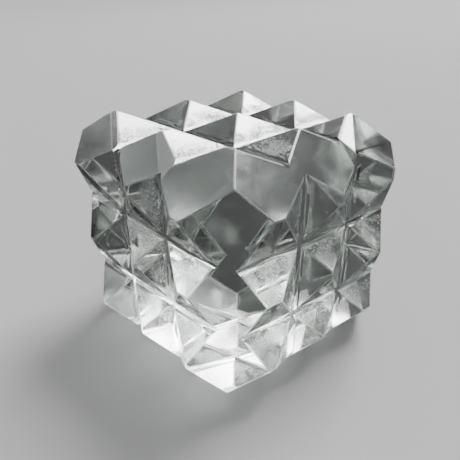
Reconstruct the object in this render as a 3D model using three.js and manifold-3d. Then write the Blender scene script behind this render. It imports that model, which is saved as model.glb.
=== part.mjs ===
// A cube of clear quartz, cut and polished. Its twelve edges are bevelled, and two V-shaped grooves
// run each way over every face, so that nine low four-sided pyramids stand on each.
// Millimetres, +Z up. The origin is under the middle of the crystal, on the plane that it rests on.

import * as THREE from "three";
import { mergeVertices } from "three/addons/utils/BufferGeometryUtils.js";
import Module from "manifold-3d";

// Driving dimensions

const REST_TO_MIDDLE = 20.6;      // height of the crystal's middle above what it rests on
const WALL_ANGLE = 26;            // slope of every groove wall against its face, in degrees
const END_GROOVE_LEVEL = 17.8;    // from the middle out to the groove bottoms, top and underside
const SIDE_GROOVE_LEVEL = 19.85;  // the same on the four upright faces

// Where the grooves lie: "at" is measured from the face's middle, and "turn" is how many degrees
// the groove runs out of square. Upright ones are placed across the face, level ones up it.
const END_GROOVES = {
  upright: [{ at: -6.5, turn: 1.0 }, { at: 7.3, turn: 2.6 }],
  level: [{ at: -6.6, turn: -0.3 }, { at: 7.1, turn: -0.5 }],
};
const FRONT_GROOVES = {
  upright: [{ at: -6.6, turn: 1.8 }, { at: 5.8, turn: -1.1 }],
  level: [{ at: -6.4, turn: 4.1 }, { at: 6.4, turn: -0.6 }],
};
const RIGHT_GROOVES = {
  upright: [{ at: -5.5, turn: 5.2 }, { at: 6.4, turn: 5.8 }],
  level: [{ at: -7.9, turn: -4.1 }, { at: 4.7, turn: -2.3 }],
};

// The edge bevels: how far each stands from the middle, how many degrees it leans from 45 towards
// the first of its two faces, and how many it turns towards the + end of its edge. Two edges change
// bevel at a groove: "from" and "to" say where on the edge, from its middle.
const EDGE_BEVELS = [
  { between: ["top", "front"], distance: 27.0, lean: 3.0, turn: -2.0, to: -6.5 },
  { between: ["top", "front"], distance: 25.9, lean: 0.6, turn: 1.7, from: -6.5 },
  { between: ["top", "right"], distance: 25.0, lean: -2.8, turn: 5.4, to: 7.6 },
  { between: ["top", "right"], distance: 26.1, lean: 4.4, turn: 5.1, from: 7.6 },
  { between: ["top", "back"], distance: 24.2, lean: -4.1, turn: -0.5 },
  { between: ["top", "left"], distance: 25.7, lean: 7.6, turn: 3.2 },
  { between: ["front", "right"], distance: 26.2, lean: 2.4, turn: -1.6 },
  { between: ["front", "left"], distance: 27.3, lean: 0, turn: -1.8 },
  { between: ["back", "right"], distance: 25.8, lean: 0, turn: -3.6 },
  { between: ["back", "left"], distance: 25.8, lean: 0, turn: 0 },
  { between: ["bottom", "front"], distance: 26.7, lean: -3.2, turn: 2.0 },
  { between: ["bottom", "right"], distance: 25.7, lean: 0.4, turn: -1.1 },
  { between: ["bottom", "back"], distance: 25.7, lean: 0, turn: 0 },
  { between: ["bottom", "left"], distance: 25.7, lean: 0, turn: 0 },
];

// Sizes of the rough block and of the tools that cut it, all past the finished shape
const BLOCK = 54;
const TOOL = 80;
const TIP_TOOL = 16;
const GROOVE_TOOL_REACH = 30;

const X = new THREE.Vector3(1, 0, 0);
const Y = new THREE.Vector3(0, 1, 0);
const Z = new THREE.Vector3(0, 0, 1);
const LEFT = X.clone().negate();
const FORWARD = Y.clone().negate();
const DOWN = Z.clone().negate();

// Each face: its outward direction, the direction across it and the one up it. Opposite faces are
// cut alike.
const FACES = {
  top: { out: Z, across: X, up: Y, level: END_GROOVE_LEVEL, grooves: END_GROOVES },
  bottom: { out: DOWN, across: X, up: Y, level: END_GROOVE_LEVEL, grooves: END_GROOVES },
  front: { out: FORWARD, across: X, up: Z, level: SIDE_GROOVE_LEVEL, grooves: FRONT_GROOVES },
  back: { out: Y, across: X, up: Z, level: SIDE_GROOVE_LEVEL, grooves: FRONT_GROOVES },
  right: { out: X, across: Y, up: Z, level: SIDE_GROOVE_LEVEL, grooves: RIGHT_GROOVES },
  left: { out: LEFT, across: Y, up: Z, level: SIDE_GROOVE_LEVEL, grooves: RIGHT_GROOVES },
};

// Small flats ground on the ridges of three tips: the point where each leaves its groove, from the
// crystal's middle, the way it goes from there, the compass direction that it faces, from +X towards
// +Y, and how high it looks, in degrees
const TIP_FLATS = [
  { at: [-6.9, -20.1, 17.6], run: LEFT, facing: -39.5, up: 66.9 },
  { at: [6.4, -20.4, 16.0], run: LEFT, facing: -62, up: 57 },
  { at: [16.7, 7.0, 17.8], run: Y, facing: -32, up: 63 },
];

const wasm = await Module();
wasm.setup();

// The closed solid of a geometry whose faces meet at shared corners
function solidOf(geometry) {
  const bare = geometry.clone();
  bare.deleteAttribute("normal");
  bare.deleteAttribute("uv");
  const merged = mergeVertices(bare);
  const vertProperties = new Float32Array(merged.attributes.position.array);
  const triVerts = new Uint32Array(merged.index.array);
  return new wasm.Manifold(new wasm.Mesh({ numProp: 3, vertProperties, triVerts }));
}

function geometryOf(solid) {
  const mesh = solid.getMesh();
  const geometry = new THREE.BufferGeometry();
  geometry.setAttribute("position", new THREE.BufferAttribute(mesh.vertProperties, 3));
  geometry.setIndex(new THREE.BufferAttribute(mesh.triVerts, 1));
  return geometry;
}

// A block that takes away what stands out of a flat through "foot", from there on along "run"
function flatTool(foot, out, run, size) {
  const along = run.clone().projectOnPlane(out).normalize();
  const box = new THREE.BoxGeometry(size, size, size);
  box.translate(0, size / 2, size / 2);
  const sideways = new THREE.Vector3().crossVectors(out, along);
  box.applyMatrix4(new THREE.Matrix4().makeBasis(sideways, out, along));
  box.translate(foot.x, foot.y, foot.z);
  return solidOf(box);
}

function bevelTool(bevel) {
  const first = FACES[bevel.between[0]].out;
  const second = FACES[bevel.between[1]].out;
  const lean = THREE.MathUtils.degToRad(45 - bevel.lean);
  const turn = THREE.MathUtils.degToRad(bevel.turn);
  const edge = new THREE.Vector3(1, 1, 1);
  edge.sub(first.clone().multiply(first)).sub(second.clone().multiply(second));
  const out = first.clone().multiplyScalar(Math.cos(lean)).addScaledVector(second, Math.sin(lean));
  out.multiplyScalar(Math.cos(turn)).addScaledVector(edge, Math.sin(turn));
  const backwards = bevel.to !== undefined;
  const run = edge.clone().multiplyScalar(backwards ? -1 : 1);
  const start = bevel.from ?? bevel.to ?? -TOOL / 2;
  const foot = out.clone().multiplyScalar(bevel.distance);
  const along = edge.clone().projectOnPlane(out);
  foot.addScaledVector(along, (start - foot.dot(edge)) / along.dot(edge));
  return flatTool(foot, out, run, TOOL);
}

function tipTool(flat) {
  const up = THREE.MathUtils.degToRad(flat.up);
  const facing = THREE.MathUtils.degToRad(flat.facing);
  const out = new THREE.Vector3(Math.cos(facing), Math.sin(facing), 0).multiplyScalar(Math.cos(up));
  out.z = Math.sin(up);
  return flatTool(new THREE.Vector3(...flat.at), out, flat.run, TIP_TOOL);
}

// A long V whose lower edge lies at the groove's bottom: it runs along "run" and is placed along "aside"
function grooveTool(face, run, aside, groove) {
  const rise = GROOVE_TOOL_REACH * Math.tan(THREE.MathUtils.degToRad(WALL_ANGLE));
  const section = new THREE.Shape();
  section.moveTo(0, 0);
  section.lineTo(GROOVE_TOOL_REACH, rise);
  section.lineTo(-GROOVE_TOOL_REACH, rise);
  section.closePath();
  const vee = new THREE.ExtrudeGeometry(section, { depth: TOOL, bevelEnabled: false });
  vee.translate(0, 0, -TOOL / 2);
  const slant = Math.tan(THREE.MathUtils.degToRad(groove.turn));
  const along = run.clone().addScaledVector(aside, slant).normalize();
  const sideways = new THREE.Vector3().crossVectors(face.out, along);
  vee.applyMatrix4(new THREE.Matrix4().makeBasis(sideways, face.out, along));
  const foot = aside.clone().multiplyScalar(groove.at).addScaledVector(face.out, face.level);
  vee.translate(foot.x, foot.y, foot.z);
  return solidOf(vee);
}

function cutCrystal() {
  const tools = [...EDGE_BEVELS.map(bevelTool), ...TIP_FLATS.map(tipTool)];
  for (const face of Object.values(FACES)) {
    for (const groove of face.grooves.upright) {
      tools.push(grooveTool(face, face.up, face.across, groove));
    }
    for (const groove of face.grooves.level) {
      tools.push(grooveTool(face, face.across, face.up, groove));
    }
  }
  // The tips under the crystal are ground off level, so that it stands
  tools.push(flatTool(new THREE.Vector3(-TOOL / 2, 0, -REST_TO_MIDDLE), DOWN, X, TOOL));
  const block = solidOf(new THREE.BoxGeometry(BLOCK, BLOCK, BLOCK));
  return tools.reduce((crystal, tool) => crystal.subtract(tool), block);
}

const quartz = new THREE.MeshStandardMaterial({
  color: 0xe4eae6,
  roughness: 0.06,
  metalness: 0,
  transparent: true,
  opacity: 0.4,
});

const crystal = new THREE.Mesh(geometryOf(cutCrystal()), quartz);
crystal.name = "crystal";
crystal.position.z = REST_TO_MIDDLE;

const part = new THREE.Group();
part.name = "quartz_crystal";
part.add(crystal);

export default part;
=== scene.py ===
import math

import bmesh
import bpy
from mathutils import Matrix, Vector


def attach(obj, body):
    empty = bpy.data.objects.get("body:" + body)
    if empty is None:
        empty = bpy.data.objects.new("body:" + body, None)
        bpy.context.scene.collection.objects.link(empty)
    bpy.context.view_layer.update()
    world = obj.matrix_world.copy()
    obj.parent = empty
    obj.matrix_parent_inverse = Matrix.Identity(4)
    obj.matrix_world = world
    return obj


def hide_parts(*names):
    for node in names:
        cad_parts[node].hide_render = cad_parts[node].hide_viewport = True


MM = 0.001

# The cut of the crystal, in metres and degrees, as its solid has it
REST_TO_MIDDLE = 20.6 * MM
WALL_ANGLE = 26.0
END_GROOVE_LEVEL = 17.8 * MM
SIDE_GROOVE_LEVEL = 19.85 * MM

# Grooves as (distance from the face's middle in mm, degrees out of square)
END_GROOVES = {"upright": [(-6.5, 1.0), (7.3, 2.6)], "level": [(-6.6, -0.3), (7.1, -0.5)]}
FRONT_GROOVES = {"upright": [(-6.6, 1.8), (5.8, -1.1)], "level": [(-6.4, 4.1), (6.4, -0.6)]}
RIGHT_GROOVES = {"upright": [(-5.5, 5.2), (6.4, 5.8)], "level": [(-7.9, -4.1), (4.7, -2.3)]}

X = Vector((1, 0, 0))
Y = Vector((0, 1, 0))
Z = Vector((0, 0, 1))

# Each face: outward, across it, up it, the level of its groove bottoms and its grooves
FACES = {
    "top": (Z, X, Y, END_GROOVE_LEVEL, END_GROOVES),
    "bottom": (-Z, X, Y, END_GROOVE_LEVEL, END_GROOVES),
    "front": (-Y, X, Z, SIDE_GROOVE_LEVEL, FRONT_GROOVES),
    "back": (Y, X, Z, SIDE_GROOVE_LEVEL, FRONT_GROOVES),
    "right": (X, Y, Z, SIDE_GROOVE_LEVEL, RIGHT_GROOVES),
    "left": (-X, Y, Z, SIDE_GROOVE_LEVEL, RIGHT_GROOVES),
}

# Edge bevels: the two faces, mm from the middle, lean towards the first face, turn along the edge,
# and where on the edge the bevel starts or ends, in mm from the edge's middle
EDGE_BEVELS = [
    ("top", "front", 27.0, 3.0, -2.0, None, -6.5),
    ("top", "front", 25.9, 0.6, 1.7, -6.5, None),
    ("top", "right", 25.0, -2.8, 5.4, None, 7.6),
    ("top", "right", 26.1, 4.4, 5.1, 7.6, None),
    ("top", "back", 24.2, -4.1, -0.5, None, None),
    ("top", "left", 25.7, 7.6, 3.2, None, None),
    ("front", "right", 26.2, 2.4, -1.6, None, None),
    ("front", "left", 27.3, 0.0, -1.8, None, None),
    ("back", "right", 25.8, 0.0, -3.6, None, None),
    ("back", "left", 25.8, 0.0, 0.0, None, None),
    ("bottom", "front", 26.7, -3.2, 2.0, None, None),
    ("bottom", "right", 25.7, 0.4, -1.1, None, None),
    ("bottom", "back", 25.7, 0.0, 0.0, None, None),
    ("bottom", "left", 25.7, 0.0, 0.0, None, None),
]

# Small flats on three ridges: where each leaves its groove in mm, the way it runs from there, and
# the degrees round from +X and up that it faces
TIP_FLATS = [
    ((-6.9, -20.1, 17.6), -X, -39.5, 66.9),
    ((6.4, -20.4, 16.0), -X, -62.0, 57.0),
    ((16.7, 7.0, 17.8), Y, -32.0, 63.0),
]

# The floor: its tone to the eye and to light within the crystal, its roughness, half its width in
# metres and how far it lies under the crystal
FLOOR = 0.85
FLOOR_WITHIN = 0.09
FLOOR_ROUGHNESS = 0.7
FLOOR_HALF = 60.0
FLOOR_DROP = 0.03 * MM

# How far out the floor starts to run into the backdrop, and where it has done so, in metres
FADES_FROM = 0.4
FADES_TO = 2.5

# The room's even tone, which lights the floor, and the tone that stands behind the floor. The facets
# see a dim dome instead, which turns from its low to its high tone between two heights
ROOM = 0.3
BACKDROP = 0.75
LOW_SKY = 0.01
HIGH_SKY = 0.1
DOME_FROM = 0.4
DOME_TO = 0.9

# Each light: name, place, width and depth in metres, and radiance. Lamps light everything, and cards
# are only mirrored in the facets
LAMPS = [("key", (-0.18, 1.7, 2.46), (1.4, 1.4), 12.0)]
CARDS = [("window", (-0.18, 1.5, 2.6), (2.8, 1.9), 56.0)]

# The camera: lens in mm, place in metres, and degrees round, up and rolled
CAMERA_LENS = 38.8
CAMERA_NEAR = 0.005
CAMERA_AT = (0.0642, -0.056, 0.06265)
CAMERA_ROUND = 50.0
CAMERA_UP = 27.13
CAMERA_ROLL = -2.02

# The rough block that is cut, and the sizes of the tools
BLOCK = 54 * MM
TOOL = 80 * MM
TIP_TOOL = 16 * MM
TOOL_REACH = 30 * MM

# The cutter's point leaves a finer, steeper channel along the bottom of every groove
SCORE_STEEPER = 1.8
SCORE_DEPTH = 0.36 * MM

# How far raised edges are eased, and the share of the shortest edge beside one that this may take
ARRIS = 0.2 * MM
EASED_SHARE = 0.4

# A facet is a wall of a groove if it faces out of it, runs along it and holds its bottom line
WALL_FACES_OUT = 0.3
WALL_SLANTS = 0.015
WALL_MISSES = 0.1 * MM
NO_GROOVE = 10 * MM

# Two facets meet in an edge only where they turn by more degrees than this
FLAT_WITHIN = 0.05

# Which facets are which, by the parts of their outward direction and their place
UNDERSIDE_BELOW = -0.6
BACK_MARGIN = 0.05
BEVEL_RISES = (0.4, 0.95)
FRONT_BELOW = -0.3
UPPER_ABOVE = 0.8
LEANS_LEFT_BELOW = 0.2
FRONT_WALL_BELOW = -0.5
SIDE_COLUMNS = 7 * MM

# Roughness of the polish, what it is more on facets that are ground more matt, and what wear adds
POLISH = 0.02
BACK_MATT = 0.06
UNDER_MATT = 0.22
FRONT_BEVEL_MATT = 0.45
RIGHT_BEVEL_MATT = 0.18
UPPER_MATT = 0.16
WORN_EDGE = 0.3
FROST = 0.25
PIT = 0.6

# Frost and pits lie along a groove: off its channel, thick up to one distance and gone by another.
# The clean walls and those of the top have this share of what a pitted wall has
OFF_CHANNEL = (0.6 * MM, 1.2 * MM)
THINS_OUT = (1.5 * MM, 7.0 * MM)
CLEAN_SIDE = 0.15
TOP_SIDE = 1.15

# Noise: its scale, and the values between which each pattern comes in
PIT_SCALE = 3300.0
PIT_FROM = 0.56
PIT_EDGE = 0.06
PIT_SPREAD = 0.3
PIT_DEPTH = 0.12 * MM
PIT_RELIEF = 0.8
PATCH_SCALE = 260.0
PATCHES = (0.42, 0.62)
GRAIN_SCALE = 5200.0
GRAINS = (0.35, 0.65)
GRAIN_SHARE = 0.6
GRAIN_DEPTH = 0.3
MOTTLE_SCALE = 400.0
MOTTLES = (0.3, 0.7)
MOTTLED = (0.75, 1.1)
WAVE_SCALE = 170.0
WAVE_HEIGHT = 0.03 * MM

# Clear quartz with a faint grey-green depth
QUARTZ_IOR = 1.55
QUARTZ_TINT = (0.84, 0.9, 0.86, 1)
QUARTZ_DENSITY = 18.0


def grey(tone):
    """An opaque grey of that tone."""
    return tone, tone, tone, 1


def groove_cuts():
    """Foot, outward and running direction of each groove and its channel, and its tool's scale."""
    for out, across, up, level, grooves in FACES.values():
        for way, run, aside in (("upright", up, across), ("level", across, up)):
            for at, turn in grooves[way]:
                along = (run + aside * math.tan(math.radians(turn))).normalized()
                foot = aside * (at * MM) + out * level
                yield foot, out, along, (1, 1, 1)
                yield foot - out * SCORE_DEPTH, out, along, (SCORE_STEEPER, 1, 1)


def flat_cuts():
    """The same for every edge bevel, the small flats on the ridges and the flat that it stands on."""
    for first, second, distance, lean, turn, start, end in EDGE_BEVELS:
        a, b = FACES[first][0], FACES[second][0]
        edge = Vector(1 - abs(i) - abs(j) for i, j in zip(a, b))
        lean, turn = math.radians(45 - lean), math.radians(turn)
        out = (a * math.cos(lean) + b * math.sin(lean)) * math.cos(turn) + edge * math.sin(turn)
        along = (edge - out * edge.dot(out)).normalized()
        if start is None and end is None:
            begin = -TOOL / 2
        else:
            begin = (end if start is None else start) * MM
        foot = out * (distance * MM)
        foot += along * ((begin - foot.dot(edge)) / along.dot(edge))
        yield foot, out, along if end is None else -along, (1, 1, 1)
    for at, run, facing, up in TIP_FLATS:
        facing, up = math.radians(facing), math.radians(up)
        out = Vector((math.cos(facing) * math.cos(up), math.sin(facing) * math.cos(up), math.sin(up)))
        yield Vector(at) * MM, out, run, (TIP_TOOL / TOOL,) * 3
    yield -Z * REST_TO_MIDDLE - X * TOOL / 2, -Z, X, (1, 1, 1)


def cutting_plan():
    """A cloud of points, one for each cut, that holds which way its tool stands and runs."""
    cuts = [(*cut, True) for cut in groove_cuts()] + [(*cut, False) for cut in flat_cuts()]
    mesh = bpy.data.meshes.new("cutting_plan")
    mesh.from_pydata([tuple(foot) for foot, *_ in cuts], [], [])
    for name in ("out", "along", "size"):
        mesh.attributes.new(name, "FLOAT_VECTOR", "POINT")
    mesh.attributes.new("groove", "BOOLEAN", "POINT")
    for i, (_, out, along, size, groove) in enumerate(cuts):
        mesh.attributes["out"].data[i].vector = out
        mesh.attributes["along"].data[i].vector = along
        mesh.attributes["size"].data[i].vector = size
        mesh.attributes["groove"].data[i].value = groove
    return mesh


def cutting_tree():
    """Geometry Nodes: stands a V tool or a flat tool on each point of the plan and cuts a block."""
    tree = bpy.data.node_groups.new("crystal_cutting", "GeometryNodeTree")
    face = tree.interface
    face.new_socket("Cutting Plan", in_out="INPUT", socket_type="NodeSocketGeometry")
    for name, value in (("Block Size", BLOCK), ("Tool Length", TOOL), ("Groove Reach", TOOL_REACH)):
        face.new_socket(name, in_out="INPUT", socket_type="NodeSocketFloat").default_value = value
    face.new_socket("Wall Slope", in_out="INPUT", socket_type="NodeSocketFloat")
    face.new_socket("Material", in_out="INPUT", socket_type="NodeSocketMaterial")
    face.new_socket("Crystal", in_out="OUTPUT", socket_type="NodeSocketGeometry")
    nodes, link = tree.nodes, tree.links.new
    given = nodes.new("NodeGroupInput").outputs

    def stored(name, kind):
        node = nodes.new("GeometryNodeInputNamedAttribute")
        node.data_type = kind
        node.inputs["Name"].default_value = name
        return node.outputs["Attribute"]

    def combined(x=None, y=None, z=None, rest=0.0):
        node = nodes.new("ShaderNodeCombineXYZ")
        for socket, value in zip(node.inputs, (x, y, z)):
            socket.default_value = rest
            if value is not None:
                link(value, socket)
        return node.outputs[0]

    def scaled(value, factor):
        node = nodes.new("ShaderNodeMath")
        node.operation = "MULTIPLY"
        link(value, node.inputs[0])
        if isinstance(factor, float):
            node.inputs[1].default_value = factor
        else:
            link(factor, node.inputs[1])
        return node.outputs[0]

    def placed(mesh, shift=None, turn=None, scale=None):
        node = nodes.new("GeometryNodeTransform")
        link(mesh, node.inputs["Geometry"])
        for socket, value in (("Translation", shift), ("Rotation", turn), ("Scale", scale)):
            if isinstance(value, tuple):
                node.inputs[socket].default_value = value
            elif value is not None:
                link(value, node.inputs[socket])
        return node.outputs[0]

    def standing(tool, where):
        node = nodes.new("GeometryNodeInstanceOnPoints")
        link(given["Cutting Plan"], node.inputs["Points"])
        link(tool, node.inputs["Instance"])
        link(where, node.inputs["Selection"])
        link(facing.outputs[0], node.inputs["Rotation"])
        link(stored("size", "FLOAT_VECTOR"), node.inputs["Scale"])
        return node.outputs[0]

    facing = nodes.new("FunctionNodeAxesToRotation")
    facing.primary_axis, facing.secondary_axis = "X", "Z"
    link(stored("out", "FLOAT_VECTOR"), facing.inputs[0])
    link(stored("along", "FLOAT_VECTOR"), facing.inputs[1])

    # A prism on one of its edges: three sides of radius 1 are 1.5 high and 2 sin 60 degrees wide
    prism = nodes.new("GeometryNodeMeshCylinder")
    prism.inputs["Vertices"].default_value = 3
    prism.inputs["Radius"].default_value = 1.0
    link(given["Tool Length"], prism.inputs["Depth"])
    on_its_edge = placed(prism.outputs["Mesh"], shift=(1, 0, 0), turn=(0, 0, math.pi))
    rise = scaled(scaled(given["Groove Reach"], given["Wall Slope"]), 1 / 1.5)
    half_width = scaled(given["Groove Reach"], 1 / math.sin(math.radians(60)))
    groove_tool = placed(on_its_edge, scale=combined(rise, half_width, rest=1.0))

    plate = nodes.new("GeometryNodeMeshCube")
    link(combined(*[given["Tool Length"]] * 3), plate.inputs["Size"])
    half = scaled(given["Tool Length"], 0.5)
    flat_tool = placed(plate.outputs["Mesh"], shift=combined(half, None, half))

    groove = stored("groove", "BOOLEAN")
    flat = nodes.new("FunctionNodeBooleanMath")
    flat.operation = "NOT"
    link(groove, flat.inputs[0])

    block = nodes.new("GeometryNodeMeshCube")
    link(combined(*[given["Block Size"]] * 3), block.inputs["Size"])
    cut = nodes.new("GeometryNodeMeshBoolean")
    cut.operation = "DIFFERENCE"
    cut.solver = "MANIFOLD"
    link(block.outputs["Mesh"], cut.inputs[0])
    link(standing(groove_tool, groove), cut.inputs[1])
    link(standing(flat_tool, flat.outputs[0]), cut.inputs[1])

    whole = nodes.new("GeometryNodeRealizeInstances")
    link(placed(cut.outputs["Mesh"], shift=(0, 0, REST_TO_MIDDLE)), whole.inputs[0])
    dressed = nodes.new("GeometryNodeSetMaterial")
    link(whole.outputs[0], dressed.inputs["Geometry"])
    link(given["Material"], dressed.inputs["Material"])
    link(dressed.outputs[0], nodes.new("NodeGroupOutput").inputs[0])
    return tree


def new_object(name, mesh):
    """An object of that mesh, lamp or camera, in the scene."""
    piece = bpy.data.objects.new(name, mesh)
    bpy.context.scene.collection.objects.link(piece)
    return piece


def applied(piece):
    """The piece as a plain mesh, with its modifiers made real and taken off."""
    bpy.context.view_layer.update()
    graph = bpy.context.evaluated_depsgraph_get()
    mesh = bpy.data.meshes.new_from_object(piece.evaluated_get(graph), depsgraph=graph)
    piece.modifiers.clear()
    piece.data = mesh
    return piece


def cut_crystal(material):
    """The bare cut shape: flat facets that meet in sharp edges."""
    crystal = new_object("cut_crystal", cutting_plan())
    cutting = crystal.modifiers.new("cutting", "NODES")
    cutting.node_group = cutting_tree()
    sockets = {item.name: item.identifier for item in cutting.node_group.interface.items_tree}
    cutting[sockets["Block Size"]] = BLOCK
    cutting[sockets["Tool Length"]] = TOOL
    cutting[sockets["Groove Reach"]] = TOOL_REACH
    cutting[sockets["Wall Slope"]] = math.tan(math.radians(WALL_ANGLE))
    cutting[sockets["Material"]] = material
    return applied(crystal)


def groove_of(face):
    """The line of the groove that a facet is a wall of, or None where it is a bevel or a flat."""
    for foot, out, along, size in groove_cuts():
        foot = foot + Z * REST_TO_MIDDLE
        faces_out = face.normal.dot(out)
        slants = abs(face.normal.dot(along))
        misses = abs((face.calc_center_median() - foot).dot(face.normal))
        if faces_out > WALL_FACES_OUT and slants < WALL_SLANTS and misses < WALL_MISSES:
            return foot, along, size[0] > 1
    return None


def matt_of(face, groove):
    """How much more matt than the polish a facet is: the top's bevels and the underside the most."""
    normal = face.normal
    seen = max(normal.z, -normal.y, normal.x)
    hidden = max(-normal.z, normal.y, -normal.x)
    if normal.z < UNDERSIDE_BELOW:
        return UNDER_MATT
    if seen <= hidden - BACK_MARGIN:
        return BACK_MATT
    if groove is None and BEVEL_RISES[0] < normal.z < BEVEL_RISES[1]:
        return FRONT_BEVEL_MATT if normal.y < FRONT_BELOW else RIGHT_BEVEL_MATT
    if normal.z > UPPER_ABOVE and normal.x < LEANS_LEFT_BELOW:
        return UPPER_MATT
    return 0.0


def pitting_of(face, groove):
    """How pitted a facet is: walls that face right or up most, and those at the far left least."""
    middle = face.calc_center_median()
    faces_right_or_up = sorted(face.normal, key=abs)[1] > 0
    far_left = middle.x < -SIDE_COLUMNS and face.normal.y < FRONT_WALL_BELOW
    near_corner = middle.x > SIDE_COLUMNS and middle.y < 0 and face.normal.z > UPPER_ABOVE
    if groove is None or not (near_corner or faces_right_or_up and not far_left):
        return CLEAN_SIDE
    return TOP_SIDE if face.normal.z > UPPER_ABOVE and not near_corner else 1.0


def polish(crystal):
    """Eases the edges, and marks how matt each facet is and how far its corners lie from its groove."""
    mesh = bmesh.new()
    mesh.from_mesh(crystal.data)
    bmesh.ops.remove_doubles(mesh, verts=mesh.verts, dist=ARRIS)
    flat = math.radians(FLAT_WITHIN)
    bmesh.ops.dissolve_limit(mesh, angle_limit=flat, verts=mesh.verts, edges=mesh.edges)
    matt = mesh.faces.layers.float.new("matt")
    scored = mesh.faces.layers.float.new("scored")
    grazed = mesh.faces.layers.float.new("grazed")
    from_groove = mesh.loops.layers.float.new("from_groove")
    for face in mesh.faces:
        groove = groove_of(face)
        face.smooth = True
        face[matt] = matt_of(face, groove)
        face[scored] = 1.0 if groove and groove[2] else 0.0
        face[grazed] = pitting_of(face, groove)
        for loop in face.loops:
            loop[from_groove] = NO_GROOVE
            if groove:
                foot, along, _ = groove
                loop[from_groove] = (loop.vert.co - foot).cross(along).length

    # Ridges are eased, the bottoms of the channels are shaded round, and all other edges stay sharp
    easing = mesh.edges.layers.float.new("bevel_weight_edge")
    for edge in mesh.edges:
        shortest = min(near.calc_length() for vert in edge.verts for near in vert.link_edges)
        in_channel = [face[scored] > 0 for face in edge.link_faces]
        ridge = edge.is_convex and not any(in_channel)
        edge.smooth = ridge or (all(in_channel) and not edge.is_convex)
        if ridge:
            edge[easing] = min(1.0, EASED_SHARE * shortest / ARRIS)
    mesh.to_mesh(crystal.data)
    mesh.free()

    # The easing takes a slot of its own for a moment, which tells its faces from the others
    arris = crystal.modifiers.new("arris", "BEVEL")
    arris.width = ARRIS
    arris.segments = 2
    arris.limit_method = "WEIGHT"
    arris.use_clamp_overlap = False
    arris.harden_normals = True
    quartz = crystal.data.materials[-1]
    arris_slot = arris.material = len(crystal.data.materials)
    crystal.data.materials.append(None)
    applied(crystal)
    worn = crystal.data.attributes.new("worn", "FLOAT", "FACE")
    for polygon in crystal.data.polygons:
        worn.data[polygon.index].value = polygon.material_index == arris_slot
        polygon.material_index = 0
    crystal.data.materials.clear()
    crystal.data.materials.append(quartz)
    return crystal


def clear_quartz():
    """See-through quartz: polished, with frost and pits along the grooves and worn edges."""
    material = bpy.data.materials.new("clear_quartz")
    material.use_nodes = True
    nodes, link = material.node_tree.nodes, material.node_tree.links.new
    glass = nodes["Principled BSDF"]
    glass.inputs["Base Color"].default_value = (1, 1, 1, 1)
    glass.inputs["IOR"].default_value = QUARTZ_IOR
    glass.inputs["Transmission Weight"].default_value = 1.0
    place = nodes.new("ShaderNodeTexCoord").outputs["Object"]

    def attribute(name):
        node = nodes.new("ShaderNodeAttribute")
        node.attribute_name = name
        return node.outputs["Fac"]

    def maths(operation, *values):
        node = nodes.new("ShaderNodeMath")
        node.operation = operation
        for socket, value in zip(node.inputs, values):
            if isinstance(value, (int, float)):
                socket.default_value = value
            else:
                link(value, socket)
        return node.outputs[0]

    def times(*values):
        return maths("MULTIPLY", *values)

    def plus(*values):
        return maths("ADD", *values)

    def ramp(value, low, high, to_low=0.0, to_high=1.0):
        node = nodes.new("ShaderNodeMapRange")
        node.interpolation_type = "SMOOTHSTEP"
        node.inputs["From Min"].default_value = low
        node.inputs["From Max"].default_value = high
        node.inputs["To Min"].default_value = to_low
        node.inputs["To Max"].default_value = to_high
        link(value, node.inputs["Value"])
        return node.outputs["Result"]

    def noise(scale, detail=2.0, roughness=0.5):
        node = nodes.new("ShaderNodeTexNoise")
        node.inputs["Scale"].default_value = scale
        node.inputs["Detail"].default_value = detail
        node.inputs["Roughness"].default_value = roughness
        link(place, node.inputs["Vector"])
        return node.outputs["Fac"]

    def bump(height, depth, strength=1.0, over=None):
        node = nodes.new("ShaderNodeBump")
        node.inputs["Strength"].default_value = strength
        node.inputs["Distance"].default_value = depth
        link(height, node.inputs["Height"])
        if over is not None:
            link(over.outputs[0], node.inputs["Normal"])
        return node

    off_channel = ramp(attribute("from_groove"), *OFF_CHANNEL)
    near = times(ramp(attribute("from_groove"), *THINS_OUT, 1.0, 0.0), off_channel)
    near = times(near, attribute("grazed"))
    patches = ramp(noise(PATCH_SCALE, 3.0), *PATCHES)
    grain = ramp(noise(GRAIN_SCALE), *GRAINS)
    frost = times(times(near, patches), plus(times(grain, GRAIN_SHARE), 1 - GRAIN_SHARE))

    rarer = times(maths("SUBTRACT", near, 1.0), PIT_SPREAD)
    pits = ramp(plus(noise(PIT_SCALE, 3.0, 0.6), rarer), PIT_FROM, PIT_FROM + PIT_EDGE)

    mottles = ramp(noise(MOTTLE_SCALE, 4.0, 0.6), *MOTTLES, *MOTTLED)
    roughness = plus(times(attribute("matt"), mottles), POLISH)
    for wear, amount in ((attribute("worn"), WORN_EDGE), (frost, FROST), (pits, PIT)):
        roughness = plus(roughness, times(wear, amount))
    link(roughness, glass.inputs["Roughness"])

    pitted = bump(plus(pits, times(times(frost, grain), GRAIN_DEPTH)), PIT_DEPTH, strength=PIT_RELIEF)
    pitted.invert = True
    waves = bump(noise(WAVE_SCALE, 1.0), WAVE_HEIGHT, over=pitted)
    link(waves.outputs[0], glass.inputs["Normal"])

    absorption = nodes.new("ShaderNodeVolumeAbsorption")
    absorption.inputs["Color"].default_value = QUARTZ_TINT
    absorption.inputs["Density"].default_value = QUARTZ_DENSITY
    link(absorption.outputs[0], nodes["Material Output"].inputs["Volume"])
    return material


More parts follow.
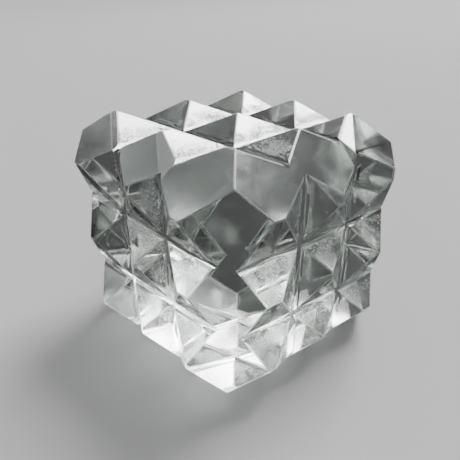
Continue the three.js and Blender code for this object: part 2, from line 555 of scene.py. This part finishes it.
def pale_floor():
    """Pale to the eye, dark to light within the crystal, and one with the backdrop far out."""
    material = bpy.data.materials.new("pale_floor")
    material.use_nodes = True
    nodes, link = material.node_tree.nodes, material.node_tree.links.new
    shader = nodes["Principled BSDF"]
    shader.inputs["Roughness"].default_value = FLOOR_ROUGHNESS
    shader.inputs["Specular IOR Level"].default_value = 0.0

    def mixed(factor, tone, other):
        node = nodes.new("ShaderNodeMix")
        node.data_type = "RGBA"
        link(factor, node.inputs["Factor"])
        for socket, value in ((node.inputs["A"], tone), (node.inputs["B"], other)):
            if isinstance(value, tuple):
                socket.default_value = value
            else:
                link(value, socket)
        return node.outputs["Result"]

    to_the_eye = nodes.new("ShaderNodeLightPath").outputs["Is Camera Ray"]
    outward = nodes.new("ShaderNodeVectorMath")
    outward.operation = "LENGTH"
    link(nodes.new("ShaderNodeTexCoord").outputs["Object"], outward.inputs[0])
    far = nodes.new("ShaderNodeMapRange")
    far.interpolation_type = "SMOOTHSTEP"
    far.inputs["From Min"].default_value = FADES_FROM
    far.inputs["From Max"].default_value = FADES_TO
    link(outward.outputs["Value"], far.inputs["Value"])
    pale = mixed(far.outputs["Result"], grey(FLOOR), grey(0.0))
    backdrop = mixed(far.outputs["Result"], grey(0.0), grey(BACKDROP))
    link(mixed(to_the_eye, grey(FLOOR_WITHIN), pale), shader.inputs["Base Color"])
    link(mixed(to_the_eye, grey(0.0), backdrop), shader.inputs["Emission Color"])
    shader.inputs["Emission Strength"].default_value = 1.0
    material.cycles.emission_sampling = "NONE"
    return material


def lay_floor():
    """A wide plain floor, a hair under the flat that the crystal stands on."""
    mesh = bpy.data.meshes.new("floor")
    corners = ((-1, -1), (1, -1), (1, 1), (-1, 1))
    points = [(x * FLOOR_HALF, y * FLOOR_HALF, -FLOOR_DROP) for x, y in corners]
    mesh.from_pydata(points, [], [(0, 1, 2, 3)])
    mesh.materials.append(pale_floor())
    new_object("floor", mesh)


def hang_sky():
    """The room's tone for the floor, the backdrop's for the eye and a dim dome for the facets."""
    world = bpy.data.worlds.new("studio")
    bpy.context.scene.world = world
    world.use_nodes = True
    nodes, link = world.node_tree.nodes, world.node_tree.links.new
    height = nodes.new("ShaderNodeSeparateXYZ")
    link(nodes.new("ShaderNodeTexCoord").outputs["Generated"], height.inputs[0])
    dome = nodes.new("ShaderNodeValToRGB")
    for step, at, tone in zip(dome.color_ramp.elements, (DOME_FROM, DOME_TO), (LOW_SKY, HIGH_SKY)):
        step.position = at
        step.color = grey(tone)
    link(height.outputs["Z"], dome.inputs[0])
    path = nodes.new("ShaderNodeLightPath")
    sky = dome.outputs[0]
    for ray, tone in (("Is Diffuse Ray", ROOM), ("Is Camera Ray", BACKDROP)):
        seen = nodes.new("ShaderNodeMix")
        seen.data_type = "RGBA"
        link(path.outputs[ray], seen.inputs["Factor"])
        link(sky, seen.inputs["A"])
        seen.inputs["B"].default_value = grey(tone)
        sky = seen.outputs["Result"]
    link(sky, nodes["Background"].inputs["Color"])


def area_light(name, at, size, radiance):
    """A rectangular light that faces the crystal."""
    light = bpy.data.lights.new(name, "AREA")
    light.shape = "RECTANGLE"
    light.size, light.size_y = size
    light.energy = radiance * math.pi * size[0] * size[1]
    lamp = new_object(name, light)
    lamp.location = at
    lamp.rotation_euler = (Z * REST_TO_MIDDLE - Vector(at)).to_track_quat("-Z", "Y").to_euler()
    return lamp


def keep_off_floor(card):
    """Lets the facets mirror a card, and takes out its light once it has met the floor."""
    card.visible_diffuse = False
    card.data.use_nodes = True
    nodes, link = card.data.node_tree.nodes, card.data.node_tree.links.new
    clear_of_floor = nodes.new("ShaderNodeMath")
    clear_of_floor.operation = "LESS_THAN"
    clear_of_floor.inputs[1].default_value = 0.5
    link(nodes.new("ShaderNodeLightPath").outputs["Diffuse Depth"], clear_of_floor.inputs[0])
    link(clear_of_floor.outputs[0], nodes["Emission"].inputs["Strength"])


def studio():
    """Floor, sky, lamps and cards."""
    lay_floor()
    hang_sky()
    for lamp in LAMPS:
        area_light(*lamp)
    for card in CARDS:
        keep_off_floor(area_light(*card))


def camera():
    """Looks down on the crystal's front corner, from close by."""
    lens = bpy.data.cameras.new("camera")
    lens.lens = CAMERA_LENS
    lens.clip_start = CAMERA_NEAR
    round_it, up_to, roll = (math.radians(a) for a in (CAMERA_ROUND, CAMERA_UP, CAMERA_ROLL))
    level = math.cos(up_to)
    back = Vector((math.sin(round_it) * level, -math.cos(round_it) * level, math.sin(up_to)))
    right = Z.cross(back).normalized()
    up = back.cross(right)
    turned_right = right * math.cos(roll) + up * math.sin(roll)
    turned_up = up * math.cos(roll) - right * math.sin(roll)
    pose = Matrix((turned_right, turned_up, back)).transposed().to_4x4()
    pose.translation = Vector(CAMERA_AT)
    eye = new_object("camera", lens)
    eye.matrix_world = pose
    bpy.context.scene.camera = eye


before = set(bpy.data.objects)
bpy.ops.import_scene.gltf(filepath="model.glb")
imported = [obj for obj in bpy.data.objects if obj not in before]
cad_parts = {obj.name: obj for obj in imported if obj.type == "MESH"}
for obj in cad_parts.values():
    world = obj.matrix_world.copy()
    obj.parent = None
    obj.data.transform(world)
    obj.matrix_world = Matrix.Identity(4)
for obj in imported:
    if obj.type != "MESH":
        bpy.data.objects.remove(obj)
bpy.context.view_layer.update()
studio()
camera()
crystal = polish(cut_crystal(clear_quartz()))
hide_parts("crystal")
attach(crystal, "root")
